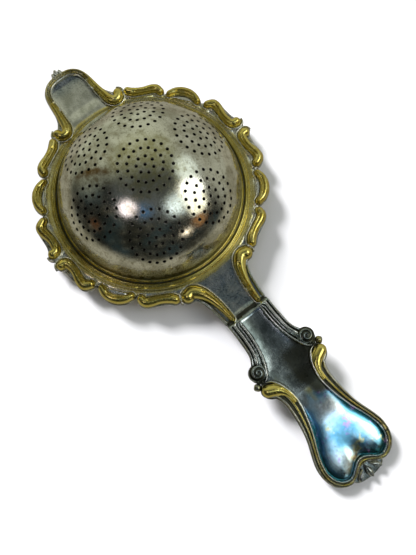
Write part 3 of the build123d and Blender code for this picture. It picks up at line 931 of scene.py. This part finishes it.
def make_handle():
    piece = Piece("handle_strip")

    def field(x, y):
        return loop_distance(x, y, HANDLE_LOOP)

    def lift(x, y):
        d = loop_distance(x, y, HANDLE_LOOP)
        inner = loop_distance(x, y, PANEL_LOOP)
        turn_over = -0.3 * (1 - dome(np.clip(1 - d / 0.3, 0, 1)))
        half = np.interp(x, [49, 58, 64, 68, 72, 76, 79, 84], [3.7, 3.9, 5.2, 7.2, 6.4, 4.6, 4.2, 5.0])
        front = step_up(80 - x, 0, 8)
        dish = 0.62 * (1 - np.clip(np.abs(y) / half, 0, 1) ** 2) * front
        sunk = np.where(inner > 0, -dish, -0.3 * step_up(-inner, 0, 0.4))
        step = -0.75 * step_up(50.1 - x, 0, 0.8) + 0.16 * bump(x, 50.6, 0.7)
        height = np.maximum(turn_over + sunk + step, -0.8)
        return height, *handle_tone(x, y, inner)

    def place(x, y, height, far):
        return on_handle(x, y, -PLATE - np.minimum(height, 0) * 0.3 * (x > 51) if far else height, False)

    relief(piece, field, lift, place, (49.0, -13.2), (112.1, 13.2), 0.35, joined=True)
    piece.make(DARK_METAL, "handle")


def across_border(x, y):
    """Distances to the border's two edges, and the share of the way across it."""
    outer = loop_distance(x, y, BORDER_LOOP)
    inner = -loop_distance(x, y, PANEL_LOOP)
    return outer, inner, np.clip(outer / np.maximum(outer + inner, 1e-6), 0, 1)


def border(piece, near_x, far_x, ridges, both=False):
    """Mouldings between the panel and the handle's edge. Each ridge is its place across the band
    (0 at the outer edge), its half width, its height, wear, polish, and a fade along X.
    Where the band closes round the heart, both sides of the handle are made together."""
    def field(x, y):
        outer, inner, _ = across_border(x, y)
        return np.minimum(np.minimum(outer, inner), np.minimum(x - near_x, far_x - x))

    def strongest(x, y):
        _, _, t = across_border(x, y)
        height, wear, shine, top = 0.12 + 0 * t, 0.1 + 0 * t, 0 * t, 0 * t
        for place, half, tall, worn, bright, fade in ridges:
            ridge = np.interp(x, fade[0], fade[1]) * bump(t, place, half)
            height = np.maximum(height, tall * np.sqrt(ridge))
            wear = np.maximum(wear, worn * ridge)
            shine = np.maximum(shine, bright * step_up(ridge, 0.25, 0.6))
            top = np.maximum(top, ridge)
        return height, wear, shine, top

    def lift(x, y):
        height, wear, _, top = strongest(x, y)
        outer, inner, _ = across_border(x, y)
        # painted shade: near black between the ridges
        dirt = 0.95 * (1 - step_up(top, 0.05, 0.5))
        return height * step_up(np.minimum(outer, inner), -0.05, 0.22) - 0.02, wear, np.clip(dirt, 0, 1)

    low_y, ways = (-13.2, ONCE) if both else (2.5, TWICE)
    relief(piece, field, lift, on_handle, (near_x - 0.3, low_y), (min(far_x, 110) + 0.3, 13.2), 0.2,
           ways=ways, tint=lambda x, y: strongest(x, y)[2])


def make_mouldings():
    piece = Piece("front_mouldings")
    border(piece, 50.4, 69.75, ((0.10, 0.12, 0.70, 0.35, 0.4, ([50, 62, 64], [1, 1, 0.2])),
                                (0.40, 0.17, 1.30, 0.15, 0.8, ([50, 63, 65], [1, 1, 0.1])),
                                (0.64, 0.10, 0.80, 0.10, 0.5, ([50, 62, 64.5], [1, 1, 0])),
                                (0.88, 0.14, 1.10, 0.0, 1.0, ([50, 69], [1, 1]))))
    piece.make(DARK_METAL, "handle_front_border")
    piece = Piece("rear_mouldings")
    border(piece, 69.85, 120, ((0.12, 0.13, 0.75, 0.30, 0.3, ([69, 76, 78], [0.3, 0.6, 1])),
                               (0.50, 0.15, 1.35, 0.66, 0.0, ([69, 73, 76, 80], [0, 0.2, 0.9, 1])),
                               (0.88, 0.14, 1.10, 0.0, 1.0, ([69, 70], [1, 1]))), both=True)
    piece.make(CAST_METAL, "handle_rear_border")


def make_volutes():
    piece = Piece("front_volutes")
    centre, reach, pitch = np.array([66.2, 9.4]), 2.75, 1.25

    def swirl(x, y):
        dx, dy = x - centre[0], y - centre[1]
        r = np.hypot(dx, dy)
        return r, np.arctan2(dy, dx)

    def field(x, y):
        r, _ = swirl(x, y)
        return reach - r

    def lift(x, y):
        r, angle = swirl(x, y)
        wave = np.cos(2 * math.pi * (r / pitch) - angle)
        ridge = step_up(wave, -0.3, 0.8)
        body = 1.9 * dome(np.clip(r / reach, 0, 1)) ** 0.8
        height = body + 0.5 * ridge * step_up(reach - r, 0.1, 0.5) * step_up(r, 0.1, 0.5) - 0.02
        return height, 0.25 * ridge, np.clip(0.95 - 0.75 * ridge, 0, 1)

    relief(piece, field, lift, on_handle, centre - reach - 0.2, centre + reach + 0.2, 0.16, ways=TWICE)
    tail = [(61.6, 6.3), (63.0, 6.6), (64.6, 7.4), (66.6, 7.5), (68.1, 8.6)]
    scroll(piece, tail, [0.5, 0.7, 0.8, 0.8, 0.6], 1.25, bead=False, groove=0.3, place=on_handle, cell=0.17,
           wear_most=0.3)
    piece.make(DARK_METAL, "handle_front_volutes")
    piece = Piece("rear_volutes")
    comma = [(72.3, 10.2), (72.6, 9.5), (73.3, 8.2), (74.6, 6.9), (76.6, 6.0), (79.5, 5.6)]
    scroll(piece, comma, [2.0, 2.0, 1.6, 1.15, 0.75, 0.45], 2.4, bead=False, place=on_handle, cell=0.17,
           fade=(0.35, 0.9), wear_most=0.75)
    piece.make(CAST_METAL, "handle_rear_volutes")


def make_balls():
    """Small cast balls between the shoulder scrolls, a little squared and lobed."""
    piece = Piece("shoulder_balls")
    middle = on_handle(np.array([69.6]), np.array([12.05]), np.array([-PLATE / 2]), False)[0]
    rings, around = 14, 20
    last = 1 + (rings - 1) * around

    def number(k, j):
        return 0 if k == 0 else last if k == rings else 1 + (k - 1) * around + j % around

    for sy in (1, -1):
        verts, faces = [], []
        for k in range(rings + 1):
            a = math.pi * k / rings
            swell = 1.22 + 0.07 * math.cos(4 * a)
            for j in range(1 if k in (0, rings) else around):
                b = 2 * math.pi * j / around
                verts.append((middle[0] + swell * math.sin(a) * math.cos(b) * (1 + 0.06 * math.cos(3 * b)),
                              sy * (middle[1] - 0.1 + swell * math.cos(a)),
                              middle[2] + swell * math.sin(a) * math.sin(b)))
        for k in range(rings):
            for j in range(around):
                corners = number(k, j), number(k, j + 1), number(k + 1, j + 1), number(k + 1, j)
                faces.append(tuple(dict.fromkeys(corners))[::sy])
        piece.add(np.array(verts), faces, None, 0.35, 0.25)
    piece.make(DARK_METAL, "handle_balls")


def make_heart():
    """The smooth pillow inside the heart, rolling down to the mouldings, turned deeper teal towards its edge
    as painted shade.
    """
    piece = Piece("heart_panel")

    def field(x, y):
        return np.minimum(loop_distance(x, y, PANEL_LOOP) + 0.05, x - 78.5)

    def lift(x, y):
        d = np.maximum(loop_distance(x, y, PANEL_LOOP), 0)
        start = step_up(x, 78.5, 90)
        room = np.interp(x, [78, 84, 92, 98, 106], [3.6, 4.2, 5.4, 6.0, 5.4])
        rise = 1.15 * start * dome(np.clip(1 - d / room, 0, 1))
        rise = rise * (1 - 0.38 * bump(y, 0, 3.6) * step_up(x, 93, 104))
        wear, grime_and_shade = handle_tone(x, y, d)
        # painted shade: deeper teal towards the pillow's edge
        rim = np.clip(1 - d / 2.4, 0, 1) ** 1.2
        return 0.02 + rise, wear, np.maximum(grime_and_shade * (1 - start), rim * start)

    def film(x, y):
        return step_up(x + 3.5 * bump(y, -0.3, 3.5), 79.0, 87.0)

    relief(piece, field, lift, on_handle, (78.2, -11.2), (108.2, 11.2), 0.35, 0.35, far=False, tint=film)
    piece.make(HEART_METAL, "heart_boss")


def make_end_finial():
    """Three leaves over the notch of the heart, the middle one pointed."""
    piece = Piece("leaf_finial")
    leaf = {"bead": False, "groove": 0.6, "place": on_handle, "cell": 0.14, "wear_most": 0.15,
            "fade": (-0.2, 1.2), "shine": 0.4}
    pointed = [(107.7, 0.0), (109.3, 0.0), (111.2, 0.0)]
    scroll(piece, pointed, [0.35, 0.8, 1.15, 0.9, 0.3], 1.7, ways=ONCE, **leaf)
    scroll(piece, [(107.9, 1.7), (109.0, 2.9), (110.1, 3.9)], [0.35, 0.7, 0.95, 0.6], 1.5, **leaf)
    piece.make(DARK_METAL, "handle_finial")


for make_part in (make_bowl, make_ring, make_frame, make_rim_scrolls, make_neck, make_tab_border,
                  make_handle, make_mouldings, make_volutes, make_balls, make_heart, make_end_finial):
    make_part()


# ------------------------------------------------------------------ studio

def direction(azimuth, elevation):
    a, e = math.radians(azimuth), math.radians(elevation)
    return Vector((math.cos(a) * math.cos(e), math.sin(a) * math.cos(e), math.sin(e)))


# soft windows and lit things in the room: azimuth, elevation, where they are full, where they end, colour
WINDOWS = ((50, 48, 9, 17, (3.2, 3.3, 3.2)), (38, 38, 7, 13, (2.6, 2.6, 2.2)),
           (84, 50, 6, 16, (0.85, 0.95, 0.9)), (-85, 60, 4, 9, (3.0, 2.7, 3.0)),
           (5, 24, 2, 5, (2.6, 2.3, 1.9)), (-50, 66, 3, 9, (0.05, 0.13, 0.26)),
           (24, 24, 4, 10, (0.32, 0.16, 0.06)), (-100, 16, 2, 7, (0.12, 0.05, 0.02)),
           (20, 58, 4, 14, (1.4, 1.65, 1.8)))


def make_world():
    """A plain studio: a broad pale wall on one side, dark on the other, and a few soft windows."""
    world = bpy.data.worlds.new("studio")
    bpy.context.scene.world = world
    world.use_nodes = True
    tree = world.node_tree
    n = Nodes(tree)
    n.where = tree.nodes.new("ShaderNodeTexCoord").outputs["Generated"]

    def facing(vector):
        node = tree.nodes.new("ShaderNodeVectorMath")
        node.operation = "DOT_PRODUCT"
        tree.links.new(n.where, node.inputs[0])
        node.inputs[1].default_value = vector
        return node.outputs["Value"]

    cloud = n.noise(2.6, 3, 0.5)
    things = n.noise(9.0, 4, 0.5)
    up = facing((0, 0, 1))
    room = n.mix(n.ramp(things, 0.50, 0.68), (0.012, 0.014, 0.013), (0.13, 0.125, 0.10))
    room = n.mix(n.ramp(cloud, 0.5, 0.62, 0, 0.5), room, (0.03, 0.055, 0.065))
    colour = n.mix(n.ramp(up, 0.72, 0.97), room, (0.085, 0.095, 0.10))
    wall = n.ramp(n.ragged(facing(direction(156, 8)), cloud, 0.5), 0.22, 0.84)
    colour = n.mix(wall, colour, (0.45, 0.475, 0.38))
    colour = n.mix(n.ramp(facing(direction(97, 0)), 0.55, 0.9), colour, (0.36, 0.37, 0.31))
    colour = n.mix(n.ramp(up, 0.02, -0.25), colour, (0.32, 0.31, 0.245))
    for azimuth, elevation, full, end, tint in WINDOWS:
        edge, core = math.cos(math.radians(end)), math.cos(math.radians(full))
        colour = n.mix(n.ramp(facing(direction(azimuth, elevation)), edge, core), colour, tint)
    # the metals reflect the studio; behind the strainer there is only a plain pale backdrop
    seen = tree.nodes.new("ShaderNodeLightPath").outputs["Is Camera Ray"]
    tree.links.new(n.mix(seen, colour, (1.0, 1.0, 1.0)), tree.nodes["Background"].inputs["Color"])


def make_floor():
    """A pale sweep that the strainer lies on: it touches the handle's end and the tab.
    A painted shadow, a dark disc in the floor's colour under the bowl, keeps its holes dark."""
    mesh = bpy.data.meshes.new("floor")
    tab_x, tab_level = -53.6, -PLATE - BOWL_WALL - 0.4
    tip_x, tip_level = 108.0, -10.75
    slope = (tip_level - tab_level) / (tip_x - tab_x)
    size = 900
    corners = ((-size, -size), (size, -size), (size, size), (-size, size))
    verts = [(x * MM, y * MM, (tab_level + (x - tab_x) * slope) * MM) for x, y in corners]
    mesh.from_pydata(verts, [], [(0, 1, 2, 3)])
    material, tree, surface = shader("pale_floor")
    surface.inputs["Roughness"].default_value = 0.9
    surface.inputs["Specular IOR Level"].default_value = 0.0
    n = Nodes(tree)
    spot = tree.nodes.new("ShaderNodeVectorMath")
    spot.operation = "LENGTH"
    tree.links.new(n.where, spot.inputs[0])
    shade = n.ramp(spot.outputs["Value"], (BOWL_RADIUS - 4) * MM, (BOWL_RADIUS - 1) * MM)
    n.link(n.mix(shade, (0.03, 0.03, 0.03), (0.805, 0.80, 0.83)), surface.inputs["Base Color"])
    mesh.materials.append(material)
    floor = bpy.data.objects.new("floor", mesh)
    bpy.context.scene.collection.objects.link(floor)
    floor.visible_glossy = False


def lamp(name, towards, strength, spread):
    """A far soft light: only the floor sees it, since the metals reflect the studio round them."""
    data = bpy.data.lights.new(name, "SUN")
    data.energy = strength
    data.angle = math.radians(spread)
    light = bpy.data.objects.new(name, data)
    bpy.context.scene.collection.objects.link(light)
    light.location = towards
    light.rotation_mode = "QUATERNION"
    light.rotation_quaternion = (-towards).to_track_quat("-Z", "Y")
    light.visible_glossy = False


def make_camera():
    data = bpy.data.cameras.new("camera")
    data.lens = 49.39
    data.sensor_width = 36
    data.clip_start = 0.01
    camera = bpy.data.objects.new("camera", data)
    bpy.context.scene.collection.objects.link(camera)
    camera.location = (0.07695, -0.03755, 0.23048)
    camera.rotation_mode = "XYZ"
    camera.rotation_euler = [math.radians(a) for a in (13.5794, -0.1800, 52.1142)]
    bpy.context.scene.camera = camera


make_world()
make_floor()
lamp("key", direction(188, 40), 5.6, 19)
lamp("fill", direction(142, 80), 0.3, 60)
make_camera()
bpy.context.scene.view_settings.view_transform = "Standard"
